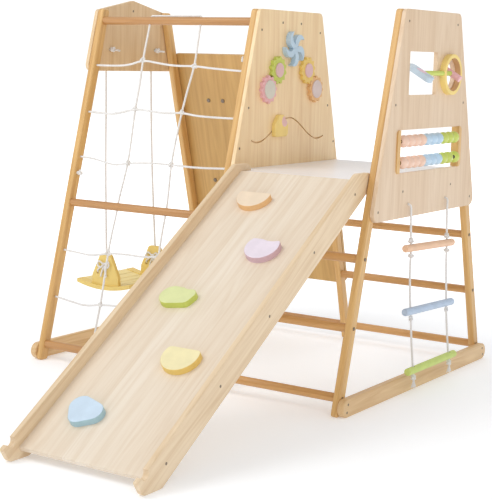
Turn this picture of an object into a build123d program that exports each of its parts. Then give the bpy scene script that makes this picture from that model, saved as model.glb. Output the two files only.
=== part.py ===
from build123d import *
import os
from math import atan2, cos, degrees, pi, radians, sin, tan

os.makedirs("parts", exist_ok=True)

# ---------------------------------------------------------------- driving sizes, mm
# X runs along the set from the swing end to the abacus end, Y from the ramp's foot to the
# climbing wall, Z up. All of it is laid out from the left A-frame's centre on the floor, and
# moved at the end so that the origin is the middle of the footprint.
FOOTPRINT_CENTRE = (577.25, -471.85)
MIDDLE_X, RIGHT_X = 667.0, 1211.0        # centre planes of the other two A-frames
LEG_TOP = 1250.0                         # height of the legs
LEG_FOOT_Y, LEG_TOP_Y = 520.0, 185.0     # half-spread of the leg centre lines
LEG_WIDE, LEG_DEEP, LEG_EDGE = 24.0, 38.0, 6.0
DOWEL_R = 14.0
PANEL = 15.0                             # thickness of the plywood panels
TRAP_BOTTOM, TRAP_BOTTOM_Y, TRAP_TOP_Y = 587.0, 382.0, 205.0
FOOT_BAR_LONG, FOOT_BAR_TALL = 1080.0, 58.0
RAIL_HEIGHTS = (55.0, 265.0, 475.0)      # rungs of the right bay, front and rear
PLATFORM_RAIL_Z, NET_RAIL_Z, TOP_RAIL_Z = 685.0, 555.0, 1207.0
DECK = 18.0                              # thickness of the platform board and ramp rails
ROPE_R, SWING_ROPE_R = 3.5, 4.0
BOLT_R, BOLT_HEAD_R, SCREW_R = 3.5, 5.5, 2.0
SLACK, ROPE_ROOM = 0.15, 1.0             # radial room of a bolt or a rope in its hole
SUNK = 3.2                               # depth of a bolt head's seat

HALF = LEG_WIDE / 2
PANEL_FACE = MIDDLE_X + HALF + PANEL     # outer face of the gear panel
RIGHT_FACE = RIGHT_X + HALF + PANEL      # outer face of the activity panel
LEG_TILT = atan2(LEG_FOOT_Y - LEG_TOP_Y, LEG_TOP)

# ramp, in its own plane: s up the slope, n out of it, both from the rail's centre
RAMP_SLOPE = radians(33.1)
RAMP_X0, RAMP_X1 = 727.5, 1197.5         # outer faces of the two rails
RAMP_RAIL_HALF, RAMP_RAIL_DEEP = 675.0, 88.0
RAMP_BOARD_HALF, RAMP_BOARD = 628.0, 16.0
HOOK_S, HOOK_N, HOOK_R = 640.75, 42.0, 15.5
HOLD_THICK = 20.0


def leg_y(z):
    """Distance of a leg's centre line from the middle plane at height z."""
    return LEG_FOOT_Y - (LEG_FOOT_Y - LEG_TOP_Y) * z / LEG_TOP


HOOK_Y = -leg_y(PLATFORM_RAIL_Z)
RAMP_Y = HOOK_Y - HOOK_S * cos(RAMP_SLOPE) - HOOK_N * sin(RAMP_SLOPE)
RAMP_Z = PLATFORM_RAIL_Z - HOOK_S * sin(RAMP_SLOPE) + HOOK_N * cos(RAMP_SLOPE)

YZ = Plane(origin=(0, 0, 0), x_dir=(0, 1, 0), z_dir=(1, 0, 0))   # sketches seen from +X
RAMP = Plane(
    origin=(0, RAMP_Y, RAMP_Z),
    x_dir=(0, cos(RAMP_SLOPE), sin(RAMP_SLOPE)),
    z_dir=(1, 0, 0),
)


# ---------------------------------------------------------------- helpers
def save(name, *solids):
    """Writes one sub-part, as one solid or as a group of separate ones."""
    placed = [Pos(-FOOTPRINT_CENTRE[0], -FOOTPRINT_CENTRE[1], 0) * s for s in solids]
    whole = [s for shape in placed for s in shape.solids()]
    export_step(whole[0] if len(whole) == 1 else Compound(whole), f"parts/{name}.step")


def block(x0, x1, y0, y1, z0, z1):
    return Pos((x0 + x1) / 2, (y0 + y1) / 2, (z0 + z1) / 2) * Box(x1 - x0, y1 - y0, z1 - z0)


def rod_x(x0, x1, y, z, radius):
    return Pos((x0 + x1) / 2, y, z) * Rot(0, 90, 0) * Cylinder(radius, x1 - x0)


def rod_y(y0, y1, x, z, radius):
    return Pos(x, (y0 + y1) / 2, z) * Rot(90, 0, 0) * Cylinder(radius, y1 - y0)


def plate(points, radii, x0, x1, plane=YZ):
    """A board of the given outline, each corner rounded by its own radius, from x0 to x1."""
    face = make_face(Polyline(*points, close=True))
    for point, radius in zip(points, radii):
        corner = face.vertices().sort_by_distance((*point, 0))[0]
        face = fillet(corner, radius)
    return plane * Pos(0, 0, x0) * extrude(face, x1 - x0)


def soften(solid, radius, axis=Axis.X):
    """Rounds the edges all round the two broad faces."""
    ends = solid.faces().sort_by(axis)
    return fillet(ends[0].edges() + ends[-1].edges(), radius)


def tube(points, radius):
    """A rope along straight runs joined by tangent arcs."""
    path = [Vector(*p) for p in points]
    bends = []
    for a, b, c in zip(path, path[1:], path[2:]):
        turn = radians((b - a).get_angle(c - b))
        bends.append(0.45 * min((b - a).length, (c - b).length) / tan(turn / 2))
    line = FilletPolyline(*path, radius=bends) if bends else Line(*path)
    start = Plane(origin=line @ 0, z_dir=line % 0)
    rope = sweep(start * Circle(radius), path=line)
    filled = rope.volume / (pi * radius**2 * line.length)
    print(f"rope {line.length:7.1f} long, bends {[round(b) for b in bends]}, filled {filled:.3f}")
    return rope


def cut(solid, *tools):
    for tool in tools:
        solid = solid - tool
    return solid


def split_rope(rope, tools):
    """What is left of a rope between the knots that it is tied in."""
    return [s for s in cut(rope, *tools).solids() if s.volume > 1]


# ---------------------------------------------------------------- fasteners
bolts = []      # every bolt of the frame, each with a domed head
bolt_holes = []
screws = []
screw_holes = []


def bolt(y, z, head_x, tip_x, sunk=0.0):
    """A frame bolt along X, its domed head on or sunk in the face at head_x, its tip in a rail."""
    way = 1 if tip_x > head_x else -1
    if sunk:
        bolt_holes.append(rod_x(*sorted((head_x - way, head_x + way * sunk)), y, z, BOLT_HEAD_R + 0.3))
        head_x += way * sunk
    dome = rod_x(*sorted((head_x, head_x - way * 3)), y, z, BOLT_HEAD_R)
    dome = fillet(dome.faces().sort_by(Axis.X)[-1 if way < 0 else 0].edges(), 2)
    low, high = sorted((head_x, tip_x))
    bolts.append(dome + rod_x(low, high, y, z, BOLT_R))
    bolt_holes.append(rod_x(low, high, y, z, BOLT_R + SLACK))


def stud(y, z, x):
    """A double-ended stud through a middle leg, into the rails on both its sides."""
    bolts.append(rod_x(x - 42, x + 42, y, z, BOLT_R))
    bolt_holes.append(rod_x(x - 42.2, x + 42.2, y, z, BOLT_R + SLACK))


def screw(y, z, face_x, way, depth=28):
    """A countersunk screw whose head lies in the face at face_x; way is where it goes."""
    head = Pos(face_x + way * 1.6, y, z) * Rot(0, 90 * way, 0) * Cone(4.2, 2.0, 2.4)
    low, high = sorted((face_x + way * 2.8, face_x + way * depth))
    screws.append(head + rod_x(low, high, y, z, SCREW_R))
    room = Pos(face_x + way * 1.4, y, z) * Rot(0, 90 * way, 0) * Cone(4.9, 2.2, 2.8)
    low, high = sorted((face_x - way * 0.1, face_x + way * (depth + 0.3)))
    screw_holes.append(room + rod_x(low, high, y, z, SCREW_R + SLACK))


SHORT_SCREW = 12                         # one that stays within a panel

for side in (-1, 1):
    # bottom rails of both bays meet in the middle legs
    y = side * leg_y(RAIL_HEIGHTS[0])
    bolt(y, RAIL_HEIGHTS[0], -HALF, 42, SUNK)
    stud(y, RAIL_HEIGHTS[0], MIDDLE_X)
    bolt(y, RAIL_HEIGHTS[0], RIGHT_X + HALF, RIGHT_X - 42, SUNK)
    for z in RAIL_HEIGHTS[1:]:
        bolt(side * leg_y(z), z, RIGHT_X + HALF, RIGHT_X - 42)
    for z in RAIL_HEIGHTS[1:] + (PLATFORM_RAIL_Z,):
        bolt(side * leg_y(z), z, MIDDLE_X - HALF, MIDDLE_X + 57)
    bolt(side * leg_y(PLATFORM_RAIL_Z), PLATFORM_RAIL_Z, RIGHT_X + HALF, RIGHT_X - 42, SUNK)
bolt(-leg_y(NET_RAIL_Z), NET_RAIL_Z, -HALF, 42)
bolt(-leg_y(NET_RAIL_Z), NET_RAIL_Z, MIDDLE_X + HALF, MIDDLE_X - 42)
bolt(-leg_y(TOP_RAIL_Z), TOP_RAIL_Z, -HALF - PANEL, 42)
bolt(-leg_y(TOP_RAIL_Z), TOP_RAIL_Z, MIDDLE_X + HALF, MIDDLE_X - 42, SUNK)

for side in (-1, 1):
    for y, z in ((182, 1212), (254, 950), (345, 619)):
        screw(side * y, z, RIGHT_FACE, -1)
    for y, z in ((194, 1180), (264, 919), (314, 785), (340, 640)):
        screw(side * y, z, PANEL_FACE, -1)
    for z in (1180, 1070):
        screw(side * leg_y(z), z, -HALF - PANEL, 1)
    screw(side * 61, 1208, PANEL_FACE, -1, SHORT_SCREW)
    screw(side * 180, 673, RIGHT_FACE, -1, SHORT_SCREW)
    for z in (17, 41):
        screw(side * leg_y(z), z, -3 * HALF, 1, 40)
        screw(side * leg_y(z), z, RIGHT_X + 3 * HALF, -1, 40)
screw(0, 1249, -HALF, -1, SHORT_SCREW)


# ---------------------------------------------------------------- A-frames
def leg(x, side):
    """One leg: rounded edges, rounded top, cut level at the floor."""
    half_y = LEG_DEEP / 2 / cos(LEG_TILT)
    points = [
        (side * LEG_FOOT_Y - half_y, 0),
        (side * LEG_FOOT_Y + half_y, 0),
        (side * LEG_TOP_Y + half_y, LEG_TOP),
        (side * LEG_TOP_Y - half_y, LEG_TOP),
    ]
    return soften(plate(points, (9, 9, 12, 12), x - HALF, x + HALF), LEG_EDGE)


def through(solid, x0, x1, holes):
    """Cuts the holes that pass between x0 and x1 through a solid."""
    near = []
    for hole in holes:
        box = hole.bounding_box()
        if box.max.X > x0 and box.min.X < x1:
            near.append(hole)
    return cut(solid, *near)


for name, x in (("left", 0.0), ("middle", MIDDLE_X), ("right", RIGHT_X)):
    for end, side in (("front", -1), ("rear", 1)):
        body = leg(x, side)
        holes = [h for h in bolt_holes + screw_holes if h.center().Y * side > 0]
        save(f"{name}_{end}_leg", through(body, x - HALF, x + HALF, holes))


def foot_bar(x0, x1):
    half, r = FOOT_BAR_LONG / 2, FOOT_BAR_TALL / 2
    shape = Pos(0, r) * SlotOverall(2 * half, 2 * r)
    return soften(YZ * Pos(0, 0, x0) * extrude(shape, x1 - x0), 5)


save("left_foot_bar", through(foot_bar(-3 * HALF, -HALF), -3 * HALF, -HALF, screw_holes))
save("right_foot_bar", through(foot_bar(RIGHT_X + HALF, RIGHT_X + 3 * HALF),
                               RIGHT_X + HALF, RIGHT_X + 3 * HALF, screw_holes))


def rail(z, side, x0, x1):
    body = rod_x(x0, x1, side * leg_y(z), z, DOWEL_R)
    return through(body, x0, x1, [h for h in bolt_holes if abs(h.center().Z - z) < 1
                                  and h.center().Y * side > 0])


LEFT_BAY = (HALF, MIDDLE_X - HALF)
RIGHT_BAY = (MIDDLE_X + HALF, RIGHT_X - HALF)
# X of the two net ropes in each front rail of the left bay
NET_HOLES = {TOP_RAIL_Z: (222, 443), NET_RAIL_Z: (221, 434), RAIL_HEIGHTS[0]: (221, 444)}


def net_rail(z):
    """A front rail of the left bay, drilled for the net's two upright ropes."""
    body = rail(z, -1, *LEFT_BAY)
    for x in NET_HOLES[z]:
        drill = Cylinder(ROPE_R + ROPE_ROOM, 2 * DOWEL_R + 2)
        body -= Pos(x, -leg_y(z), z) * Rot(-degrees(LEG_TILT), 0, 0) * drill
    return body


save("net_rails", *[net_rail(z) for z in (TOP_RAIL_Z, NET_RAIL_Z)])
save("left_bottom_rails", net_rail(RAIL_HEIGHTS[0]), rail(RAIL_HEIGHTS[0], 1, *LEFT_BAY))
save("right_bottom_rails", *[rail(RAIL_HEIGHTS[0], s, *RIGHT_BAY) for s in (-1, 1)])
save("side_rungs", *[rail(z, s, *RIGHT_BAY) for z in RAIL_HEIGHTS[1:] for s in (-1, 1)])
save("platform_rails", *[rail(PLATFORM_RAIL_Z, s, PANEL_FACE, RIGHT_X - HALF) for s in (-1, 1)])


# ---------------------------------------------------------------- panels
HOUSE = [(-205, 1246), (-265, 1025), (265, 1025), (205, 1246), (0, LEG_TOP + 38)]
SWING_HOLE_Y, SWING_HOLE_Z = 136.0, 1104.0
house = soften(plate(HOUSE, (14, 22, 22, 14, 30), -HALF - PANEL, -HALF), 2)
for side in (-1, 1):
    house -= rod_x(-HALF - PANEL - 1, -HALF + 1, side * SWING_HOLE_Y, SWING_HOLE_Z,
                   SWING_ROPE_R + ROPE_ROOM)
    house -= (Pos(-HALF - PANEL + 2.9, side * SWING_HOLE_Y, SWING_HOLE_Z)
              * Rot(0, 90, 0) * Cone(11, 5, 6))
save("house_panel", through(house, -HALF - PANEL, -HALF, screw_holes + bolt_holes))

TRAPEZOID = [(-TRAP_BOTTOM_Y, TRAP_BOTTOM), (TRAP_BOTTOM_Y, TRAP_BOTTOM),
             (TRAP_TOP_Y, LEG_TOP), (-TRAP_TOP_Y, LEG_TOP)]

GROOVE_MIDDLE_Z, GROOVE_SWING, GROOVE_CREST_Y, GROOVE_WAVE = 841.0, 39.5, -7.0, 400.0
GROOVE_Y0, GROOVE_Y1 = -246.0, 236.0
GROOVE_WIDE, GROOVE_DEEP = 5.0, 8.0


def groove_z(y):
    return GROOVE_MIDDLE_Z + GROOVE_SWING * cos(2 * pi * (y - GROOVE_CREST_Y) / GROOVE_WAVE)


steps = 24
groove_line = Spline(*[(y, groove_z(y)) for y in
                       [GROOVE_Y0 + (GROOVE_Y1 - GROOVE_Y0) * i / steps for i in range(steps + 1)]])
groove = (YZ * Pos(0, 0, PANEL_FACE - GROOVE_DEEP)
          * extrude(trace(groove_line, GROOVE_WIDE), GROOVE_DEEP + 1))

GEAR_THICK, GEAR_GAP, PIN_R, PIN_FIT = 12.0, 0.4, 4.0, 0.05
BOSS_PROUD = 5.0                         # the raised round middle of each gear
GEARS = {
    "green": (-98.0, 1046.0, 25.0),
    "pink": (-157.0, 980.0, 32.0),
    "yellow": (98.0, 1046.0, 25.0),
    "orange": (157.0, 980.0, 32.0),
}
PINWHEEL_Y, PINWHEEL_Z, PINWHEEL_R = 0.0, 1120.0, 62.0
pins = [(y, z) for y, z, _ in GEARS.values()] + [(PINWHEEL_Y, PINWHEEL_Z)]

gear_panel = soften(plate(TRAPEZOID, (28, 28, 20, 20), MIDDLE_X + HALF, PANEL_FACE), 2) - groove
for y, z in pins:
    gear_panel -= rod_x(PANEL_FACE - 9, PANEL_FACE + 1, y, z, PIN_R + SLACK)
save("gear_panel", through(gear_panel, MIDDLE_X + HALF, PANEL_FACE, screw_holes + bolt_holes))
save("toy_pins", *[rod_x(PANEL_FACE - 8.8, PANEL_FACE + GEAR_THICK - 1, y, z, PIN_R)
                   for y, z in pins])

WINDOW = (-168.0, 35.0, 980.0, 1118.0)
PORT_Y, PORT_Z, PORT_R, RING_R, RING_IN_R, RING_PROUD = 122.0, 1046.0, 50.0, 67.5, 54.0, 20.0
ABACUS = (-240.0, 240.0, 732.0, 870.0)
ABACUS_ROD_R, ABACUS_ROWS = 4.0, (834.0, 766.0)
ABACUS_X, ABACUS_CORNER, POST_WIDE = RIGHT_FACE - 1.0, 14.0, 20.5
POST_X0, POST_X1, ROD_IN_POST = RIGHT_FACE - 23.0, RIGHT_FACE + 5.0, 12.0
LADDER_HOLE_Y, LADDER_HOLE_Z = 140.0, 630.0
SPIN_X, SPIN_Z, SPIN_R = RIGHT_FACE + 10.0, 1050.0, 8.0


def opening(y0, y1, z0, z1, radius):
    face = Pos((y0 + y1) / 2, (z0 + z1) / 2) * RectangleRounded(y1 - y0, z1 - z0, radius)
    return YZ * Pos(0, 0, RIGHT_X) * extrude(face, 40)


activity = soften(plate(TRAPEZOID, (28, 28, 20, 20), RIGHT_X + HALF, RIGHT_FACE), 2)
activity = cut(activity, opening(*WINDOW, 3), opening(*ABACUS, ABACUS_CORNER),
               rod_x(RIGHT_X, RIGHT_FACE + 1, PORT_Y, PORT_Z, PORT_R))
for side in (-1, 1):
    activity -= rod_x(RIGHT_X, RIGHT_FACE + 1, side * LADDER_HOLE_Y, LADDER_HOLE_Z,
                      ROPE_R + ROPE_ROOM)
save("activity_panel", through(activity, RIGHT_X + HALF, RIGHT_FACE, screw_holes + bolt_holes))

ring = rod_x(RIGHT_FACE, RIGHT_FACE + RING_PROUD, PORT_Y, PORT_Z, RING_R)
ring -= rod_x(RIGHT_FACE - 1, RIGHT_FACE + RING_PROUD + 1, PORT_Y, PORT_Z, RING_IN_R)
ring = fillet(ring.faces().sort_by(Axis.X)[-1].edges(), 1.5)
ring -= rod_y(PORT_Y - RING_R - 5, PORT_Y - 30, SPIN_X, SPIN_Z, SPIN_R + 0.08)
save("port_ring", ring)

# the beads' rods and the two posts that hold them, glued into the opening's ends
rod_half = ABACUS[1] - POST_WIDE + ROD_IN_POST
abacus_rods = [rod_y(-rod_half, rod_half, ABACUS_X, z, ABACUS_ROD_R) for z in ABACUS_ROWS]
posts = []
for y0, y1 in ((ABACUS[0], ABACUS[0] + POST_WIDE), (ABACUS[1] - POST_WIDE, ABACUS[1])):
    post = opening(*ABACUS, ABACUS_CORNER) & block(POST_X0, POST_X1, y0, y1, ABACUS[2], ABACUS[3])
    posts.append(cut(post, *abacus_rods))
save("abacus_frame", *abacus_rods, *posts)

# ---------------------------------------------------------------- beads
BEAD_R, BEAD_PITCH, TOP_BEADS, BOTTOM_BEADS = 20.0, 42.0, 10, 9
TOP_FIRST_Y, BOTTOM_FIRST_Y, END_BEAD_Y = -190.0, -191.0, 197.5


def bead(y, z):
    """A ball turned on its bore, a little longer along the rod than it is thick."""
    ball = scale(Sphere(BEAD_R), by=(1, (BEAD_PITCH - 0.4) / 2 / BEAD_R, 1))
    return Pos(ABACUS_X, y, z) * ball - rod_y(y - 30, y + 30, ABACUS_X, z, ABACUS_ROD_R + 0.09)


save("top_bead_row", *[bead(TOP_FIRST_Y + BEAD_PITCH * i, ABACUS_ROWS[0])
                       for i in range(TOP_BEADS)])
save("bottom_bead_row", *[bead(BOTTOM_FIRST_Y + BEAD_PITCH * i, ABACUS_ROWS[1])
                          for i in range(BOTTOM_BEADS)])
save("bottom_end_bead", bead(END_BEAD_Y, ABACUS_ROWS[1]))

# ---------------------------------------------------------------- spinner
PADDLE_Y, SPIN_TILT, ROD_START_Y = -110.0, 30.0, -124.0
PADDLE_LONG, PADDLE_WIDE, PADDLE_THICK = 92.0, 40.0, 18.0
BAR_R, BAR_LONG = 11.0, 76.0
rod_end_y = PORT_Y - 8
spinner = rod_y(ROD_START_Y, rod_end_y, SPIN_X, SPIN_Z, SPIN_R)
save("spinner_rod", spinner)
tilted = Pos(SPIN_X, 0, SPIN_Z) * Rot(0, SPIN_TILT, 0)
paddle = fillet(Box(PADDLE_LONG, PADDLE_WIDE, PADDLE_THICK).edges().filter_by(Axis.Z), 13)
paddle = fillet(paddle.faces().sort_by(Axis.Z)[-1].edges(), 2)
save("spinner_paddle", tilted * Pos(0, PADDLE_Y, 0) * paddle - spinner)
bar = tilted * (Pos(0, PORT_Y, 0) * Rot(0, 90, 0) * Cylinder(BAR_R, BAR_LONG))
save("spinner_bar", bar - rod_y(PADDLE_Y, rod_end_y, SPIN_X, SPIN_Z, SPIN_R))


# ---------------------------------------------------------------- gears, pinwheel, slider
GEAR_TEETH, GEAR_PITCH_R, TOOTH_SWING = 12, 43.9, 4.0


def gear_face(phase):
    """A wheel with soft rounded teeth: its rim is a wave round the pitch circle."""
    count = GEAR_TEETH * 8
    rim = []
    for i in range(count):
        turn = 2 * pi * i / count
        r = GEAR_PITCH_R + TOOTH_SWING * cos(GEAR_TEETH * (turn - phase))
        rim.append((r * cos(turn), r * sin(turn)))
    return make_face(Spline(*rim, periodic=True))


def gear(y, z, phase):
    face_x = PANEL_FACE + GEAR_GAP
    wheel = YZ * Pos(y, z, face_x) * extrude(gear_face(phase), GEAR_THICK)
    return wheel - rod_x(face_x - 1, face_x + GEAR_THICK - 0.9, y, z, PIN_R + PIN_FIT)


def mesh_phase(one, other):
    """The phase of the second wheel whose gap faces the first one's tooth."""
    line = atan2(other[1] - one[1], other[0] - one[0])
    return line, line + pi + pi / GEAR_TEETH


for inner, outer in (("green", "pink"), ("yellow", "orange")):
    for name, phase in zip((inner, outer), mesh_phase(GEARS[inner], GEARS[outer])):
        y, z, boss_r = GEARS[name]
        front_x = PANEL_FACE + GEAR_GAP + GEAR_THICK
        boss = rod_x(front_x, front_x + BOSS_PROUD, y, z, boss_r)
        boss = fillet(boss.faces().sort_by(Axis.X)[-1].edges(), 2)
        save(f"{name}_gear", gear(y, z, phase) + boss)

PINWHEEL_BLADES, PINWHEEL_THICK = 5, 18.0
blades = Circle(13)
for i in range(PINWHEEL_BLADES):
    crescent = Pos(0, 33) * Circle(29) - Pos(19, 37) * Circle(27)
    blades += Rot(0, 0, 72 * i + 20) * crescent
blade_solid = (YZ * Pos(PINWHEEL_Y, PINWHEEL_Z, PANEL_FACE + GEAR_GAP)
               * extrude(blades, PINWHEEL_THICK))
blade_solid -= rod_x(PANEL_FACE, PANEL_FACE + GEAR_GAP + GEAR_THICK - 0.9, PINWHEEL_Y, PINWHEEL_Z,
                     PIN_R + PIN_FIT)
save("pinwheel", blade_solid)

SLIDER_Y = -75.0
SLIDER_THICK, SLIDER_DROP = 15.0, 5.0
slider_z = groove_z(SLIDER_Y) - SLIDER_DROP
outline = [(-42, -38), (42, -38), (42, 4), (12, 38), (-16, 38), (-42, 6)]
shell = plate([(SLIDER_Y + y, slider_z + z) for y, z in outline], (9, 14, 14, 12, 16, 14),
              PANEL_FACE + GEAR_GAP, PANEL_FACE + GEAR_GAP + SLIDER_THICK)
save("track_slider", fillet(shell.faces().sort_by(Axis.X)[-1].edges(), 3))


# ---------------------------------------------------------------- climbing wall
WALL_X0, WALL_X1, WALL_Z0, WALL_Z1 = -12.0, 679.0, 218.0, 1090.0
out_y, out_z = cos(LEG_TILT), sin(LEG_TILT)
wall_mid_z = (WALL_Z0 + WALL_Z1) / 2
wall_foot = LEG_DEEP / 2
WALL = Plane(
    origin=((WALL_X0 + WALL_X1) / 2, leg_y(wall_mid_z) + wall_foot * out_y,
            wall_mid_z + wall_foot * out_z),
    x_dir=(1, 0, 0),
    z_dir=(0, out_y, out_z),
)
wall_tall = (WALL_Z1 - WALL_Z0) / cos(LEG_TILT)
wall = WALL * extrude(RectangleRounded(WALL_X1 - WALL_X0, wall_tall, 25), PANEL)
wall = fillet(wall.faces().sort_by(Axis((0, 0, 0), (0, out_y, out_z)))[-1].edges(), 2)

# each hold: X, and the height of its two screws on the wall's plane
WALL_HOLDS = ((170, 911), (480, 930), (440, 740), (150, 590), (520, 560), (330, 400))
NUT_APART = 67.5
holds, nuts = [], []
for x, z in WALL_HOLDS:
    across = x - (WALL_X0 + WALL_X1) / 2
    down = (wall_mid_z - z) / cos(LEG_TILT)
    here = WALL * Pos(across, down, 0)
    for way in (-1, 1):
        wall -= here * Pos(way * NUT_APART / 2, 0, PANEL / 2) * Cylinder(BOLT_R + SLACK, PANEL + 2)
        shank = Pos(0, 0, 2) * Cylinder(BOLT_R, 30, align=(Align.CENTER, Align.CENTER, Align.MIN))
        head = fillet(Cylinder(8, 3.5, align=(Align.CENTER, Align.CENTER, Align.MAX)).faces()
                      .sort_by(Axis.Z)[0].edges(), 2)
        nuts.append(here * Pos(way * NUT_APART / 2, 0, 0) * (head + Pos(0, 0, -2) * shank))
    grip = extrude(Pos(0, 0, PANEL) * Ellipse(58, 36), 32, taper=14)
    grip = fillet(grip.faces().sort_by(Axis.Z)[-1].edges(), 8)
    for way in (-1, 1):
        grip -= Pos(way * NUT_APART / 2, 0, PANEL) * Cylinder(BOLT_R + SLACK, 36)
    holds.append(here * grip)
save("climbing_wall", wall)
save("wall_holds", *holds)
save("wall_hold_bolts", *nuts)

# ---------------------------------------------------------------- platform
TONGUE_X0, TONGUE_X1, TONGUE_FRONT_Y = RAMP_X0 + DECK + 3, RAMP_X1 - DECK - 3, -362.0
BOARD_FRONT_Y, BOARD_REAR_Y = -288.0, 336.0
deck_z = PLATFORM_RAIL_Z + DOWEL_R
deck_points = [
    (PANEL_FACE + 0.5, BOARD_REAR_Y), (PANEL_FACE + 0.5, BOARD_FRONT_Y),
    (TONGUE_X0, BOARD_FRONT_Y), (TONGUE_X0, TONGUE_FRONT_Y),
    (TONGUE_X1, TONGUE_FRONT_Y), (TONGUE_X1, BOARD_FRONT_Y),
    (RIGHT_X - HALF - 0.5, BOARD_FRONT_Y), (RIGHT_X - HALF - 0.5, BOARD_REAR_Y),
]
deck = Pos(0, 0, deck_z) * extrude(make_face(Polyline(*deck_points, close=True)), DECK)
save("platform_board", fillet(deck.faces().sort_by(Axis.Z)[-1].edges(), 1.2))


# ---------------------------------------------------------------- ramp
def on_ramp(x, s, n):
    """A point of the ramp's own plane, in the set's frame."""
    return (x, RAMP_Y + s * cos(RAMP_SLOPE) - n * sin(RAMP_SLOPE),
            RAMP_Z + s * sin(RAMP_SLOPE) + n * cos(RAMP_SLOPE))


deep = RAMP_RAIL_DEEP / 2
level_s = (RAMP_Z - deep * cos(RAMP_SLOPE)) / sin(RAMP_SLOPE)       # rail's lower edge at the floor
level_n = (RAMP_RAIL_HALF * sin(RAMP_SLOPE) - RAMP_Z) / cos(RAMP_SLOPE)   # rail's end at the floor
rail_points = [
    (-RAMP_RAIL_HALF, deep), (-RAMP_RAIL_HALF, level_n), (-level_s, -deep),
    (RAMP_RAIL_HALF, -deep), (RAMP_RAIL_HALF, -level_n), (level_s, deep),
]
SCREW_STEP = 282.0
screw_s = [SCREW_STEP * i for i in range(-2, 3)]


def ramp_rail(x0):
    rail_solid = soften(plate(rail_points, (5, 22, 22, 5, 22, 22), x0, x0 + DECK, RAMP), 3)
    for end in (-1, 1):
        rail_solid -= (RAMP * Pos(end * HOOK_S, -end * HOOK_N, x0 + DECK / 2)
                       * Cylinder(HOOK_R, DECK + 2))
    return rail_solid


RAMP_BOARD_X0, RAMP_BOARD_X1 = RAMP_X0 + DECK, RAMP_X1 - DECK
board = RAMP * Pos(0, 0, (RAMP_BOARD_X0 + RAMP_BOARD_X1) / 2) * Box(
    2 * RAMP_BOARD_HALF, RAMP_BOARD, RAMP_BOARD_X1 - RAMP_BOARD_X0)
board = fillet(board.edges().filter_by(Axis.X), 4)
left_rail, right_rail = ramp_rail(RAMP_X0), ramp_rail(RAMP_X1 - DECK)
ramp_screws = []
for s in screw_s:
    for x, way in ((RAMP_X0, 1), (RAMP_X1, -1)):
        here = RAMP * Pos(s, 0, x) * Rot(0 if way > 0 else 180, 0, 0)
        hole = (Pos(0, 0, 20) * Cylinder(SCREW_R + SLACK, 40.6)
                + Pos(0, 0, 1.4) * Cone(4.9, 2.2, 2.8))
        body = Pos(0, 0, 1.6) * Cone(4.2, 2.0, 2.4) + Pos(0, 0, 21) * Cylinder(SCREW_R, 37)
        ramp_screws.append(here * body)
        left_rail, right_rail, board = (p - here * hole for p in (left_rail, right_rail, board))
save("ramp_board", board)
save("ramp_left_rail", left_rail)
save("ramp_right_rail", right_rail)
save("ramp_screws", *ramp_screws)


# ---------------------------------------------------------------- ramp holds
def rounded(*discs):
    """The outline drawn tightly round some discs, each an x, a y and a radius."""
    rims = [Pos(x, y) * Circle(r) for x, y, r in discs]
    return make_hull([edge for rim in rims for edge in rim.edges()])


def half_moon(radius, centre_y, top_y, corner):
    """A disc with its upper part cut off straight, and the two corners rounded."""
    face = Pos(0, centre_y) * Circle(radius) & Pos(0, top_y - 75) * Rectangle(150, 150)
    face = face.faces()[0]
    return fillet(face.vertices().group_by(Axis.Y)[-1], corner)


def hollowed(face, x, y, radius, corner):
    """An outline with a shallow hollow cut into it, its corners rounded."""
    face = (face - Pos(x, y) * Circle(radius)).faces()[0]
    sharp = [v for v in face.vertices() if abs(v.center().Y - y) < radius
             and abs((v.center() - Vector(x, y, 0)).length - radius) < 0.01]
    return fillet(sharp, corner)


# top views of the holds, x to the right and y up the slope
HOLD_SHAPES = {
    "orange": half_moon(58, 16, 30, 9),
    "lilac": hollowed(half_moon(56, 10, 42, 12), 14, 102, 66, 6),
    "green": hollowed(rounded((-20, 2, 38), (38, 16, 20), (30, -4, 22)), 24, 68, 34, 6),
    "yellow": half_moon(59, 14, 42, 15),
    "blue": rounded((-22, 14, 34), (28, 2, 32), (-6, -16, 32)),
}
RAMP_HOLDS = {
    "orange": (879.0, 470.0),
    "lilac": (1038.0, 245.0),
    "green": (882.0, 0.0),
    "yellow": (1037.0, -236.0),
    "blue": (871.0, -474.0),
}
for name, (x, s) in RAMP_HOLDS.items():
    top = Plane(origin=on_ramp(x, s, RAMP_BOARD / 2), x_dir=(1, 0, 0),
                z_dir=(0, -sin(RAMP_SLOPE), cos(RAMP_SLOPE)))
    grip = extrude(HOLD_SHAPES[name], HOLD_THICK)
    save(f"{name}_hold", top * fillet(grip.faces().sort_by(Axis.Z)[-1].edges(), 2.5))


# ---------------------------------------------------------------- climbing net
NET_KNOT_R, END_KNOT_R, CROWN_GAP = 12.0, 9.5, 0.2


def net_point(x, z):
    """A point of the net, which lies in the front legs' centre plane."""
    return (x, -leg_y(z), z)


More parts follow.
